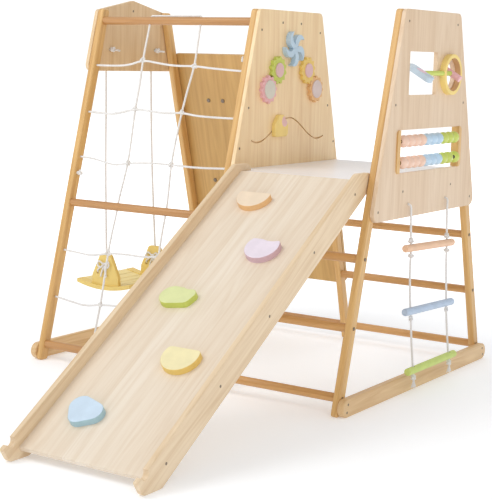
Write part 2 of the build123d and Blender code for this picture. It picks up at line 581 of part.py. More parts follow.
NET_KNOTS = [
    (219, 1069), (222, 897), (233, 708), (215, 395), (222, 218), (221, 28),
    (448, 1053), (428, 893), (421, 714), (436, 406), (445, 232), (444, 28),
]
NET_VERTICALS = [
    [(222, 1220), (222, 1178), (220, 1128), (219, 1069), (224, 980), (222, 897), (229, 800),
     (233, 708), (227, 640), (221, 585), (221, 525), (217, 470), (215, 395), (219, 310),
     (222, 218), (219, 150), (221, 85), (221, 28)],
    [(443, 1220), (443, 1178), (446, 1120), (448, 1053), (436, 970), (428, 893), (423, 800),
     (421, 714), (428, 645), (434, 585), (434, 525), (433, 470), (436, 406), (443, 320),
     (445, 232), (443, 150), (444, 85), (444, 28)],
]
NET_ROWS = [
    [(12.4, 1046), (97, 1045), (164, 1050), (219, 1069), (297, 1058), (370, 1051), (448, 1053),
     (536, 1045), (654.6, 1040)],
    [(12.4, 879), (66, 876), (136, 874), (222, 897), (290, 892), (365, 886), (428, 893),
     (508, 881), (654.6, 882)],
    [(12.4, 718), (66, 716), (127, 705), (177, 697), (233, 708), (334, 715), (421, 714),
     (545, 710), (654.6, 716)],
    [(12.4, 387), (65, 384), (145, 378), (215, 395), (312, 398), (375, 396), (436, 406),
     (545, 396), (654.6, 398)],
    [(12.4, 222), (82, 214), (154, 205), (222, 218), (300, 222), (372, 220), (445, 232),
     (545, 222), (654.6, 226)],
]

knots = [Pos(*net_point(x, z)) * Sphere(NET_KNOT_R) for x, z in NET_KNOTS]
end_knots = [
    Pos(*net_point(HALF + END_KNOT_R + 0.1, 661)) * Sphere(END_KNOT_R),
    Pos(*net_point(MIDDLE_X - HALF - END_KNOT_R - 0.1, 1079)) * Sphere(END_KNOT_R),
]
verticals, rows = [], []
for route in NET_VERTICALS:
    verticals += split_rope(tube([net_point(x, z) for x, z in route], ROPE_R), knots)
for route in NET_ROWS:
    rows += split_rope(tube([net_point(x, z) for x, z in route], ROPE_R), knots)
# the same rope goes on along the top rail's crown from one upright to the other
crown_z = TOP_RAIL_Z + (DOWEL_R + ROPE_R + CROWN_GAP) * cos(LEG_TILT)
crown_x0, crown_x1 = NET_HOLES[TOP_RAIL_Z]
crown_rope = rod_x(crown_x0 - ROPE_R, crown_x1 + ROPE_R, -leg_y(crown_z), crown_z, ROPE_R)
save("net_verticals", *verticals)
save("net_rows", *rows)
save("net_knots", *knots, *end_knots, crown_rope)

# ---------------------------------------------------------------- rope ladder
LADDER_PIVOT = (RIGHT_FACE + 11.0, 606.0)
LADDER_RUNG_R, LADDER_RUNG_HALF = 12.5, 180.0
LADDER_ROPE_Y = 137.0
LADDER_KNOT_R, KNOT_OFF_RUNG = 11.0, 24.5
LADDER_RUNGS = {
    "peach": (1254.0, 481.5, -7.5),
    "blue": (1262.0, 274.0, -7.0),
    "green": (1280.0, 85.0, 0.0),
}


def rung_z(name, y):
    """Height of a slightly slanted rung's centre line at y."""
    x, z, rise = LADDER_RUNGS[name]
    return z + rise * y / LADDER_RUNG_HALF


stubs, ladder_ropes, ladder_knots = [], [], []
pivot_x, pivot_z = LADDER_PIVOT
for side in (-1, 1):
    y = side * LADDER_ROPE_Y
    hole_y = side * LADDER_HOLE_Y
    stub_points = [(RIGHT_X + HALF - 3, hole_y, LADDER_HOLE_Z), (RIGHT_FACE + 5, hole_y, LADDER_HOLE_Z),
                   (RIGHT_FACE + 10.5, hole_y - side * 1, LADDER_HOLE_Z - 6), (pivot_x, y, pivot_z)]
    stubs.append(tube(stub_points, ROPE_R))
    stubs.append(Pos(RIGHT_X + HALF - 12, hole_y, LADDER_HOLE_Z) * Sphere(9) - stubs[-1])
    rope_points = [(pivot_x, y, pivot_z - ROPE_R - 1), (1250, y, 560),
                   (1252.5, y, rung_z("peach", y) + 30), (1254, y, rung_z("peach", y)),
                   (1254.5, y + side * 1.5, 400), (1258, y + side * 2, 335),
                   (1262, y, rung_z("blue", y)), (1267, y - side * 1, 205), (1272, y - side * 1, 150),
                   (1280, y, rung_z("green", y)), (1284, y + side * 1, 50)]
    whole = tube(rope_points, ROPE_R)
    spots = [(1252.6, rung_z("peach", y) + KNOT_OFF_RUNG), (1254.3, rung_z("peach", y) - KNOT_OFF_RUNG),
             (1263.6, rung_z("blue", y) - KNOT_OFF_RUNG), (1282.3, rung_z("green", y) - KNOT_OFF_RUNG)]
    here = [Pos(x, y, z) * Sphere(LADDER_KNOT_R) for x, z in spots]
    ladder_knots += here
    ladder_ropes += split_rope(whole, here)
save("ladder_rope_stubs", *stubs)
save("ladder_ropes", *ladder_ropes)
save("ladder_knots", *ladder_knots)
for name, (x, z, rise) in LADDER_RUNGS.items():
    bar = Pos(x, 0, z) * Rot(degrees(atan2(rise, LADDER_RUNG_HALF)), 0, 0) * Rot(90, 0, 0) * Cylinder(
        LADDER_RUNG_R, 2 * LADDER_RUNG_HALF)
    bar = fillet(bar.faces().sort_by(Axis.Y)[-1].edges() + bar.faces().sort_by(Axis.Y)[0].edges(), 4)
    for side in (-1, 1):
        bar -= Pos(x, side * LADDER_ROPE_Y, z) * Cylinder(ROPE_R + 2.2, 60)
    save(f"{name}_ladder_rung", bar)

# ---------------------------------------------------------------- swing
SWING_PIVOT = (-HALF - PANEL - SWING_ROPE_R - 0.4, 1016.0)
SEAT_X, SEAT_HALF, SEAT_LOW = -10.0, 128.0, 203.0
SEAT_R, SEAT_THICK, SLAT_THICK = 455.0, 15.0, 12.0
SEAT_END_Y, SEAT_END_WIDE, PLATE_THICK = 150.0, 40.0, 15.0
seat_centre_z = SEAT_LOW + SEAT_R


def dish(y0, y1, x0, x1, thick):
    """Part of a dished board, its hollow side up."""
    shell = rod_y(y0, y1, SEAT_X, seat_centre_z, SEAT_R)
    shell -= rod_y(y0 - 1, y1 + 1, SEAT_X, seat_centre_z, SEAT_R - thick)
    return shell & block(SEAT_X + x0, SEAT_X + x1, y0, y1, SEAT_LOW - 10, SEAT_LOW + 90)


ends, plates = [], []
for side in (-1, 1):
    y0, y1 = sorted((side * (SEAT_END_Y - SEAT_END_WIDE / 2), side * (SEAT_END_Y + SEAT_END_WIDE / 2)))
    board = dish(y0, y1, -SEAT_HALF, SEAT_HALF, SEAT_THICK)
    ends.append(fillet(board.edges().filter_by(Axis.Y), 4))
    points = [(SEAT_X - 65, 215), (SEAT_X + 65, 215), (SEAT_X + 62, 256), (SEAT_X + 24, 338),
              (SEAT_X - 24, 338), (SEAT_X - 62, 256)]
    front = Plane(origin=(0, side * SEAT_END_Y + PLATE_THICK / 2, 0), x_dir=(1, 0, 0), z_dir=(0, -1, 0))
    shape = plate(points, (2, 2, 12, 12, 12, 12), 0, PLATE_THICK, front)
    shape = shape & rod_y(-200, 200, SEAT_X, seat_centre_z, SEAT_R - SEAT_THICK)
    shape -= Pos(SEAT_X, side * SEAT_END_Y, 338) * Cylinder(SWING_ROPE_R + SLACK, 28)
    shape -= rod_y(side * SEAT_END_Y - 20, side * SEAT_END_Y + 20, SEAT_X - 36, 266, 6)
    plates.append(shape)
SLATS, SLAT_GAP = 7, 3.0
slat_wide = (2 * SEAT_HALF + SLAT_GAP) / SLATS
slats = []
for i in range(SLATS):
    x0 = -SEAT_HALF + i * slat_wide
    inner_y = SEAT_END_Y - SEAT_END_WIDE / 2
    slats.append(dish(-inner_y, inner_y, x0, x0 + slat_wide - SLAT_GAP, SLAT_THICK))
save("swing_end_boards", *ends)
save("swing_side_plates", *plates)
save("swing_slats", *slats)

swing_x, swing_z = SWING_PIVOT
swing_stubs, swing_ropes = [], []
for side in (-1, 1):
    y = side * SWING_HOLE_Y
    stub_points = [(-HALF + 2, y, SWING_HOLE_Z), (swing_x - 1, y, SWING_HOLE_Z),
                   (swing_x, y + side * 0.4, SWING_HOLE_Z - 28), (swing_x, y, swing_z)]
    stub = tube(stub_points, SWING_ROPE_R)
    swing_stubs.append(stub)
    swing_stubs.append(Pos(-HALF + 12, y, SWING_HOLE_Z) * Sphere(11) - stub)
    rope_points = [(swing_x, y, swing_z - SWING_ROPE_R - 1), (swing_x + 6, y + side * 6, 680),
                   (SEAT_X, side * SEAT_END_Y, 350), (SEAT_X, side * SEAT_END_Y, 325)]
    swing_ropes.append(tube(rope_points, SWING_ROPE_R))
save("swing_rope_stubs", *swing_stubs)
save("swing_ropes", *swing_ropes)

save("frame_bolts", *bolts)
save("panel_screws", *screws)
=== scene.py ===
"""Indoor climbing set with a hooked-on slide ramp: camera, wood, paint, ropes and studio."""
from math import atan2, cos, pi, radians, sin
import bpy
from mathutils import Matrix, Vector


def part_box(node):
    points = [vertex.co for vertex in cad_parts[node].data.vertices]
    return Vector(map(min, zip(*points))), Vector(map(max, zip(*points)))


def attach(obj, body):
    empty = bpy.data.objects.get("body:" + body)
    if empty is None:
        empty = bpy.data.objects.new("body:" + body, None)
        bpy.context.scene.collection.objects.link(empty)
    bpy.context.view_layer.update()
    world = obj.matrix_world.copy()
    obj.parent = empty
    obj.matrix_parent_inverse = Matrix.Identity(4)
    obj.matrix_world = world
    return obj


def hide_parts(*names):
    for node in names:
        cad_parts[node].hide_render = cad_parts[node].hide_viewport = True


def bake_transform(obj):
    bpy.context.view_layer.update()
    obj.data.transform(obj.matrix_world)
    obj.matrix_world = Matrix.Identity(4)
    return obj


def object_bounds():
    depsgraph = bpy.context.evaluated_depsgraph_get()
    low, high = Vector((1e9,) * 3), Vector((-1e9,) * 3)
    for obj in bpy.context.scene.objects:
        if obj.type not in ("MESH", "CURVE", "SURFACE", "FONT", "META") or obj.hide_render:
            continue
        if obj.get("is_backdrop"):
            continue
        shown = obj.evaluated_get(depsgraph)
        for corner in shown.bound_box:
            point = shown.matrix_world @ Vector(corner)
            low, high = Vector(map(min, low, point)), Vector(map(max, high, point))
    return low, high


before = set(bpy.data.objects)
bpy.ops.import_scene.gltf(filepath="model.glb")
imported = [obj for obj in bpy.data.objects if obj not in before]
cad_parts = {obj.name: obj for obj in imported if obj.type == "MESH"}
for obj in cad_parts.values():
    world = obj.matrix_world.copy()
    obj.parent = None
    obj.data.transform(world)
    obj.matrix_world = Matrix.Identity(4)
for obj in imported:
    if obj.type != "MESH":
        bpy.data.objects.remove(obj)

CAD_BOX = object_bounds()

# ------------------------------------------------------------------ places, in metres
# Routes are given from the left A-frame's centre on the floor; FOOTPRINT moves them to the frame.
FOOTPRINT = Vector((0.57725, -0.47185, 0.0))
LEG_TOP, FOOT_Y, TOP_Y = 1.25, 0.52, 0.185
TILT = atan2(FOOT_Y - TOP_Y, LEG_TOP)
ROPE_R, SWING_ROPE_R = 0.0035, 0.004
RAMP_SLOPE = radians(33.1)
NET_TOP_Z = 1.2243


def leg_y(z):
    """How far from the middle a leg's centre line stands at a height."""
    return FOOT_Y - (FOOT_Y - TOP_Y) * z / LEG_TOP


def at(x, y, z):
    """A place given from the left A-frame's centre, in the shared frame."""
    return Vector((x, y, z)) - FOOTPRINT


def net_at(x, z):
    """A point of the net's plane."""
    return at(x, -leg_y(z), z)


# ------------------------------------------------------------------ camera
# Worked out from the photo's perspective; lens and sensor in millimetres.
CAMERA_PLACE = at(3.105, -3.9238, 1.0842)
CAMERA_YAW, CAMERA_PITCH, CAMERA_ROLL = radians(33.35), radians(8.39), radians(1.38)
CAMERA_LENS, SENSOR_WIDTH, CLIP_END = 95.18, 36.0, 60


def camera():
    yaw, pitch, roll = CAMERA_YAW, CAMERA_PITCH, CAMERA_ROLL
    ahead = Vector((-sin(yaw) * cos(pitch), cos(yaw) * cos(pitch), -sin(pitch)))
    right = Vector((cos(yaw), sin(yaw), 0.0))
    up = right.cross(ahead)
    x = right * cos(roll) + up * sin(roll)
    y = up * cos(roll) - right * sin(roll)
    data = bpy.data.cameras.new("camera")
    data.sensor_fit = "HORIZONTAL"
    data.sensor_width = SENSOR_WIDTH
    data.lens = CAMERA_LENS
    data.clip_end = CLIP_END
    cam = bpy.data.objects.new("camera", data)
    turn = Matrix((x, y, -ahead)).transposed().to_4x4()
    cam.matrix_world = Matrix.Translation(CAMERA_PLACE) @ turn
    bpy.context.scene.collection.objects.link(cam)
    bpy.context.scene.camera = cam


camera()


# ------------------------------------------------------------------ node helpers
class Nodes:
    """A short way to write a material's node tree."""

    def __init__(self, name):
        self.material = bpy.data.materials.new(name)
        self.material.use_nodes = True
        self.tree = self.material.node_tree
        self.tree.nodes.clear()
        self.shader = self.add("ShaderNodeBsdfPrincipled")
        output = self.add("ShaderNodeOutputMaterial")
        self.link(self.shader.outputs[0], output.inputs[0])

    def add(self, kind, **settings):
        node = self.tree.nodes.new(kind)
        for key, value in settings.items():
            setattr(node, key, value)
        return node

    def link(self, out, socket):
        self.tree.links.new(out, socket)

    def put(self, value, socket):
        if hasattr(value, "is_linked"):
            self.link(value, socket)
        else:
            socket.default_value = value

    def maths(self, operation, *values, clamp=False):
        node = self.add("ShaderNodeMath", operation=operation, use_clamp=clamp)
        for value, socket in zip(values, node.inputs):
            self.put(value, socket)
        return node.outputs[0]

    def mix(self, factor, a, b, blend="MIX"):
        node = self.add("ShaderNodeMix", data_type="RGBA", blend_type=blend)
        for value, index in ((factor, 0), (a, 6), (b, 7)):
            self.put(value, node.inputs[index])
        return node.outputs[2]

    def noise(self, vector, size, detail=3.0, rough=0.5):
        node = self.add("ShaderNodeTexNoise")
        self.link(vector, node.inputs["Vector"])
        node.inputs["Scale"].default_value = size
        node.inputs["Detail"].default_value = detail
        node.inputs["Roughness"].default_value = rough
        return node.outputs["Fac"]

    def place(self, turn=(0, 0, 0)):
        """The shaded point in the object's own axes, turned."""
        coords = self.add("ShaderNodeTexCoord")
        spin = self.add("ShaderNodeMapping")
        spin.inputs["Rotation"].default_value = turn
        self.link(coords.outputs["Object"], spin.inputs["Vector"])
        return spin.outputs[0]

    def axes(self, vector):
        node = self.add("ShaderNodeSeparateXYZ")
        self.link(vector, node.inputs[0])
        return node.outputs

    def vector(self, x, y, z):
        node = self.add("ShaderNodeCombineXYZ")
        for value, socket in zip((x, y, z), node.inputs):
            self.put(value, socket)
        return node.outputs[0]

    def ramp(self, factor, *stops, constant=False):
        node = self.add("ShaderNodeValToRGB")
        node.color_ramp.interpolation = "CONSTANT" if constant else "LINEAR"
        elements = node.color_ramp.elements
        while len(elements) < len(stops):
            elements.new(1.0)
        for element, (place, colour) in zip(elements, stops):
            element.position = place
            element.color = (*colour, 1.0)
        self.link(factor, node.inputs[0])
        return node.outputs[0]

    def dot(self, vector, direction):
        node = self.add("ShaderNodeVectorMath", operation="DOT_PRODUCT")
        self.link(vector, node.inputs[0])
        node.inputs[1].default_value = direction
        return node.outputs["Value"]

    def step(self, value, level, width):
        """0 up to a level, 1 from that level plus width on."""
        return self.maths("DIVIDE", self.maths("SUBTRACT", value, level), width, clamp=True)

    def clouded(self, colour, place, size, detail, low):
        """The colour with soft clouds that darken it down to low."""
        cloud = self.noise(place, size, detail)
        shade = self.ramp(cloud, (0.35, (low, low, low)), (0.65, (1.0, 1.0, 1.0)))
        return self.mix(1.0, colour, shade, "MULTIPLY")

    def bump(self, height, strength, distance):
        node = self.add("ShaderNodeBump")
        node.inputs["Strength"].default_value = strength
        node.inputs["Distance"].default_value = distance
        self.link(height, node.inputs["Height"])
        self.link(node.outputs[0], self.shader.inputs["Normal"])


def srgb(r, g, b):
    """A colour seen on a screen, 0 to 255, as the linear one that the shader takes."""
    def one(c):
        c /= 255
        return c / 12.92 if c <= 0.04045 else ((c + 0.055) / 1.055) ** 2.4
    return one(r), one(g), one(b)


# ------------------------------------------------------------------ materials
# Wood: how far a pattern is drawn out along the grain, and its scale, for each of three patterns:
# the slow bend of the figure, the yearly rings and the fine pores.
BEND_STRETCH, BEND_SCALE = 0.10, 9.0
BEND_ACROSS = (0.11, 0.16)
RING_STRETCH, RING_SCALE = 0.035, 62.0
PORE_STRETCH, PORE_SCALE = 0.02, 520.0
RING_SHARE, PORE_SHARE = 0.8, 0.2
# Where in the bands the pale, middle and dark colours lie; figure spreads the outer two.
PALE_AT, PALE_SPREAD, MIDDLE_AT, DARK_SPREAD = 0.5, 0.2, 0.53, 0.22
# Glued strips: how far the grain jumps from one to the next, and how much their colours differ.
STRIP_JUMP, STRIP_TONE, STRIP_MIX = 7.0, 0.45, 0.8
STRIP_SHADE = (0.90, 0.83, 0.74, 1)
# Paint: how far its brush ridges are drawn out along the grain.
RIDGE_STRETCH = 0.08
# The width over which a painted mark's edge and a boss's edge fade, in metres.
MARK_EDGE, BOSS_EDGE = 0.0003, 0.0002
# How squarely a surface has to face up the ramp to take a hold's lighter top colour, a painted highlight
# where the light falls.
SIDE_FACING, TOP_FACING = 0.55, 0.9


def wood(name, pale, dark, turn=(0, 0, 0), grain="Z", strips=None, strip_width=0.09,
         figure=0.5, roughness=0.42):
    """Varnished pine: early and late wood in long soft bands along the grain, and fine pores.
    strips is the axis across which a board is glued up from strips that each differ a little."""
    n = Nodes(name)
    place = n.place(turn)
    axes = dict(zip("XYZ", n.axes(place)))
    shift = 0.0
    tone = None
    if strips:
        index = n.maths("FLOOR", n.maths("DIVIDE", axes[strips], strip_width))
        random = n.add("ShaderNodeTexWhiteNoise", noise_dimensions="1D")
        n.link(index, random.inputs["W"])
        tone = random.outputs["Value"]
        shift = n.maths("MULTIPLY", tone, STRIP_JUMP)
    across = [a for a in "XYZ" if a != grain]
    along = n.maths("ADD", axes[grain], shift)
    slow = n.vector(axes[across[0]], axes[across[1]], n.maths("MULTIPLY", along, BEND_STRETCH))
    bent = n.noise(slow, BEND_SCALE, 2.0)
    rings_at = n.vector(
        n.maths("ADD", axes[across[0]], n.maths("MULTIPLY", bent, BEND_ACROSS[0])),
        n.maths("ADD", axes[across[1]], n.maths("MULTIPLY", bent, BEND_ACROSS[1])),
        n.maths("ADD", n.maths("MULTIPLY", along, RING_STRETCH), shift),
    )
    rings = n.noise(rings_at, RING_SCALE, 2.5, 0.55)
    pores_at = n.vector(axes[across[0]], axes[across[1]], n.maths("MULTIPLY", along, PORE_STRETCH))
    pores = n.noise(pores_at, PORE_SCALE, 3.0, 0.6)
    band = n.maths("ADD", n.maths("MULTIPLY", rings, RING_SHARE), n.maths("MULTIPLY", pores, PORE_SHARE))
    middle = tuple((a + b) / 2 for a, b in zip(pale, dark))
    colour = n.ramp(band, (PALE_AT - PALE_SPREAD * figure, pale), (MIDDLE_AT, middle),
                    (MIDDLE_AT + DARK_SPREAD * figure, dark))
    colour = n.mix(figure, (*pale, 1), colour)
    if tone is not None:
        warm = n.mix(n.maths("MULTIPLY", tone, STRIP_TONE), (1, 1, 1, 1), STRIP_SHADE)
        colour = n.mix(STRIP_MIX, colour, warm, "MULTIPLY")
    n.link(colour, n.shader.inputs["Base Color"])
    n.shader.inputs["Roughness"].default_value = roughness
    n.shader.inputs["Coat Weight"].default_value = 0.15
    n.shader.inputs["Coat Roughness"].default_value = 0.3
    n.bump(band, 0.18, 0.0006)
    return n.material


def split_by(n, direction, level):
    """1 past a plane across direction, 0 before it."""
    return n.step(n.dot(n.place(), direction), level, BOSS_EDGE)


def near(n, place, radius, along=""):
    """1 within radius of a point, or of the line through it along an axis, 0 outside it."""
    total = 0.0
    for axis, here, there in zip("XYZ", n.axes(n.place()), place):
        if axis != along:
            away = n.maths("SUBTRACT", here, there)
            total = n.maths("ADD", n.maths("MULTIPLY", away, away), total)
    return n.maths("DIVIDE", n.maths("SUBTRACT", radius, n.maths("SQRT", total)), MARK_EDGE, clamp=True)


def facing(n, direction):
    """1 on surfaces that face the way given in the object's own axes, 0 on its sides."""
    normal = n.add("ShaderNodeNewGeometry")
    local = n.add("ShaderNodeVectorTransform", vector_type="NORMAL", convert_from="WORLD",
                  convert_to="OBJECT")
    n.link(normal.outputs["True Normal"], local.inputs[0])
    return n.step(n.dot(local.outputs[0], direction), SIDE_FACING, TOP_FACING - SIDE_FACING)


def paint(name, colour, second=None, where=None, roughness=0.5, grain="Z"):
    """Satin paint over wood: the grain shows as faint long ridges, and the colour clouds a little."""
    n = Nodes(name)
    place = n.place()
    axes = dict(zip("XYZ", n.axes(place)))
    squeezed = [n.maths("MULTIPLY", axes[a], RIDGE_STRETCH if a == grain else 1.0) for a in "XYZ"]
    ridges = n.noise(n.vector(*squeezed), 260.0, 3.0)
    base = (*colour, 1)
    if second is not None:
        base = n.mix(where(n), (*colour, 1), (*second, 1))
    n.link(n.clouded(base, place, 24.0, 3.0, 0.93), n.shader.inputs["Base Color"])
    n.shader.inputs["Roughness"].default_value = roughness
    n.bump(ridges, 0.12, 0.0004)
    return n.material


def rope_cotton():
    """Soft white cotton: fine cross fibres over the twist that the mesh has."""
    n = Nodes("rope_cotton")
    place = n.place()
    fibre = n.noise(place, 1500.0, 2.0, 0.7)
    soil = n.noise(place, 40.0, 2.0)
    colour = n.ramp(fibre, (0.3, srgb(214, 211, 208)), (0.7, srgb(247, 246, 245)))
    worn = n.ramp(soil, (0.4, (0.94, 0.93, 0.91)), (0.6, (1.0, 1.0, 1.0)))
    n.link(n.mix(1.0, colour, worn, "MULTIPLY"), n.shader.inputs["Base Color"])
    n.shader.inputs["Roughness"].default_value = 0.85
    n.shader.inputs["Sheen Weight"].default_value = 0.25
    n.bump(fibre, 0.35, 0.0005)
    return n.material


def steel():
    """Bronzed steel screw and bolt heads, lightly worn."""
    n = Nodes("bronzed_steel")
    place = n.place()
    worn = n.noise(place, 900.0, 3.0)
    colour = n.ramp(worn, (0.4, srgb(112, 98, 84)), (0.7, srgb(170, 156, 140)))
    n.link(colour, n.shader.inputs["Base Color"])
    n.shader.inputs["Metallic"].default_value = 0.85
    n.shader.inputs["Roughness"].default_value = 0.42
    n.bump(worn, 0.2, 0.0002)
    return n.material


def laminate():
    """White laminated board with a faint pearl texture."""
    n = Nodes("white_laminate")
    place = n.place()
    pearl = n.noise(place, 700.0, 2.0)
    colour = n.ramp(pearl, (0.3, srgb(246, 246, 250)), (0.7, srgb(254, 253, 255)))
    n.link(colour, n.shader.inputs["Base Color"])
    n.shader.inputs["Roughness"].default_value = 0.3
    n.bump(pearl, 0.1, 0.0002)
    return n.material


PINE_PALE, PINE_DARK = srgb(226, 184, 120), srgb(188, 138, 72)
RAIL_PALE, RAIL_DARK = srgb(236, 213, 180), srgb(208, 174, 130)
# The gear panel's pine is painted lighter than the other panels: painted light that makes up for the shade
# the activity panel casts on it.
GEAR_BRIGHTENED_PALE, GEAR_BRIGHTENED_DARK = srgb(250, 226, 184), srgb(228, 192, 142)
# The climbing wall's pine is painted darker and more golden: painted shade, as the wall stands in shadow.
WALL_SHADED_PALE, WALL_SHADED_DARK = srgb(210, 171, 106), srgb(184, 141, 78)
PANEL_PALE, PANEL_DARK = srgb(232, 206, 168), srgb(206, 170, 122)
RAMP_PALE, RAMP_DARK = srgb(238, 225, 207), srgb(220, 199, 172)
DOWEL_PALE, DOWEL_DARK = srgb(198, 148, 94), srgb(166, 113, 60)
ACTIVITY_PALE, ACTIVITY_DARK = srgb(228, 203, 174), srgb(203, 169, 130)
RUNG_PALE, RUNG_DARK = srgb(216, 166, 104), srgb(178, 126, 66)
FOOT_PALE, FOOT_DARK = srgb(234, 202, 154), srgb(204, 160, 104)
# BORE_SHADE_DARK is painted shade in the beads' bores.
BORE_SHADE_DARK, EDGE_TAN = srgb(62, 44, 32), srgb(200, 158, 108)
YELLOW, LEMON = srgb(240, 208, 118), srgb(246, 218, 134)
GREEN, ORANGE = srgb(202, 214, 104), srgb(236, 190, 134)
BLUE, LILAC = srgb(192, 217, 236), srgb(216, 184, 196)
PINK, PEACH = srgb(238, 186, 190), srgb(242, 206, 184)
# The gears' bosses stand this far out, and the painted marks have these radii, in metres.
BOSS_RISE = 0.0045
WINDOW_R, PORT_R, HUB_R, BORE_R, BORE_SPOT_SHADE_R = 0.019, 0.0552, 0.020, 0.0062, 0.0065
BEADS_TOP, BEADS_BOTTOM = 10, 9


def dress(material, *nodes):
    """Gives carried-over CAD nodes their material."""
    for name in nodes:
        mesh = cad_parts[name].data
        mesh.materials.clear()
        mesh.materials.append(material)


def dress_wood():
    for end, side in (("front", -1), ("rear", 1)):
        legs = wood(f"leg_pine_{end}", PINE_PALE, PINE_DARK, turn=(-side * TILT, 0, 0), figure=0.75)
        dress(legs, *[f"{place}_{end}_leg" for place in ("left", "middle", "right")])
    dress(wood("foot_bar_pine", FOOT_PALE, FOOT_DARK, grain="Y", figure=0.9),
          "left_foot_bar", "right_foot_bar")
    dress(wood("dowel_beech", DOWEL_PALE, DOWEL_DARK, grain="X", figure=0.7),
          "net_rails", "left_bottom_rails")
    dress(wood("rung_beech", RUNG_PALE, RUNG_DARK, grain="X", figure=0.8),
          "right_bottom_rails", "side_rungs", "platform_rails")
    # The gear panel takes the lightened pine: painted light against the activity panel's shade.
    dress(wood("gear_panel_pine_brightened", GEAR_BRIGHTENED_PALE, GEAR_BRIGHTENED_DARK, strips="Y", figure=0.7), "gear_panel")
    dress(wood("activity_pine", ACTIVITY_PALE, ACTIVITY_DARK, strips="Y", strip_width=0.12, figure=0.4),
          "activity_panel")
    dress(wood("house_pine", PANEL_PALE, PANEL_DARK, strips="Y", figure=0.7), "house_panel")
    # The climbing wall takes the darkened pine: painted shade.
    dress(wood("wall_pine_shaded", WALL_SHADED_PALE, WALL_SHADED_DARK, turn=(-TILT, 0, 0), strips="X", figure=0.7),
          "climbing_wall")
    ramp_turn = (-RAMP_SLOPE, 0, 0)
    dress(wood("ramp_pine", RAMP_PALE, RAMP_DARK, turn=ramp_turn, grain="Y", strips="X",
               strip_width=0.08, figure=0.5, roughness=0.5), "ramp_board")
    dress(wood("ramp_rail_pine", RAIL_PALE, RAIL_DARK, turn=ramp_turn, grain="Y", figure=0.7),
          "ramp_left_rail", "ramp_right_rail")
    dress(wood("abacus_wood", PINE_PALE, PINE_DARK, figure=0.7), "abacus_frame")


def dress_holds():
    up_ramp = (0.0, -sin(RAMP_SLOPE), cos(RAMP_SLOPE))
    # Each hold's top is painted lighter than its sides: a painted highlight for the light that falls on the
    # faces up the ramp.
    sides_and_lit_tops = {
        "orange": (ORANGE, srgb(244, 224, 198)), "lilac": (LILAC, srgb(238, 226, 238)),
        "green": (GREEN, srgb(224, 230, 168)), "yellow": (YELLOW, srgb(245, 234, 184)),
        "blue": (srgb(172, 206, 218), srgb(206, 226, 244)),
    }
    for name, (side, top) in sides_and_lit_tops.items():
        dress(paint(f"{name}_hold_lit_top_paint", side, top, lambda n: facing(n, up_ramp), grain="Y"),
              f"{name}_hold")


def dress_gears():
    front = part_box("green_gear")[1].x - BOSS_RISE
    gears = {
        "green": (GREEN, srgb(226, 190, 190)), "pink": (PINK, srgb(218, 216, 204)),
        "yellow": (YELLOW, srgb(228, 192, 196)), "orange": (ORANGE, srgb(222, 206, 204)),
    }
    for name, (rim, boss) in gears.items():
        dress(paint(f"{name}_gear_paint", rim, boss, lambda n: split_by(n, (1, 0, 0), front)),
              f"{name}_gear")


def dress_marked_toys():
    """The toys that carry a round mark in a second colour, the end bead's mark being painted shade at its
    bore, and the plain parts beside them.
    """
    dress(paint("pinwheel_paint", BLUE), "pinwheel")
    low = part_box("track_slider")[0]
    window = (0, low.y + 0.060, low.z + 0.053)
    dress(paint("slider_paint", LEMON, srgb(232, 192, 190), lambda n: near(n, window, WINDOW_R, "X")),
          "track_slider")
    port = at(0, 0.122, 1.046)
    dress(paint("ring_paint", LEMON, EDGE_TAN, lambda n: near(n, port, PORT_R, "X")), "port_ring")
    dress(paint("spinner_green", GREEN, grain="Y"), "spinner_rod")
    hub = at(1.248, -0.110, 1.050)
    dress(paint("spinner_blue", srgb(196, 214, 228), srgb(232, 200, 214), lambda n: near(n, hub, HUB_R)),
          "spinner_paddle")
    # eye is a dark spot of painted shade at the mouth of the end bead's bore.
    low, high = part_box("bottom_end_bead")
    eye = (low + high) / 2 + Vector((0.0066, -0.0188, 0.001))
    dress(paint("end_bead_paint", GREEN, BORE_SHADE_DARK, lambda n: near(n, eye, BORE_SPOT_SHADE_R), roughness=0.35),
          "bottom_end_bead")
    dress(paint("spinner_pink", PINK), "spinner_bar")


def dress_plain():
    dress(paint("peach_rung_paint", srgb(242, 200, 166), grain="Y"), "peach_ladder_rung")
    dress(paint("blue_rung_paint", srgb(190, 208, 230), grain="Y"), "blue_ladder_rung")
    dress(paint("green_rung_paint", srgb(208, 224, 126), grain="Y"), "green_ladder_rung")
    dress(paint("seat_paint", srgb(244, 226, 158), grain="Y"), "swing_slats")
    dress(paint("seat_end_paint", srgb(238, 210, 124), grain="X"), "swing_end_boards", "swing_side_plates")
    dress(paint("grip_paint", BLUE, roughness=0.6), "wall_holds")
    dress(laminate(), "platform_board")
    dress(steel(), "frame_bolts", "panel_screws", "ramp_screws", "wall_hold_bolts", "toy_pins")


def dress_bead_rows():
    for node, count in (("top_bead_row", BEADS_TOP), ("bottom_bead_row", BEADS_BOTTOM)):
        low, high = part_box(node)
        dress(bead_paint(f"{node}_paint", low, high, (high.y - low.y) / count), node)


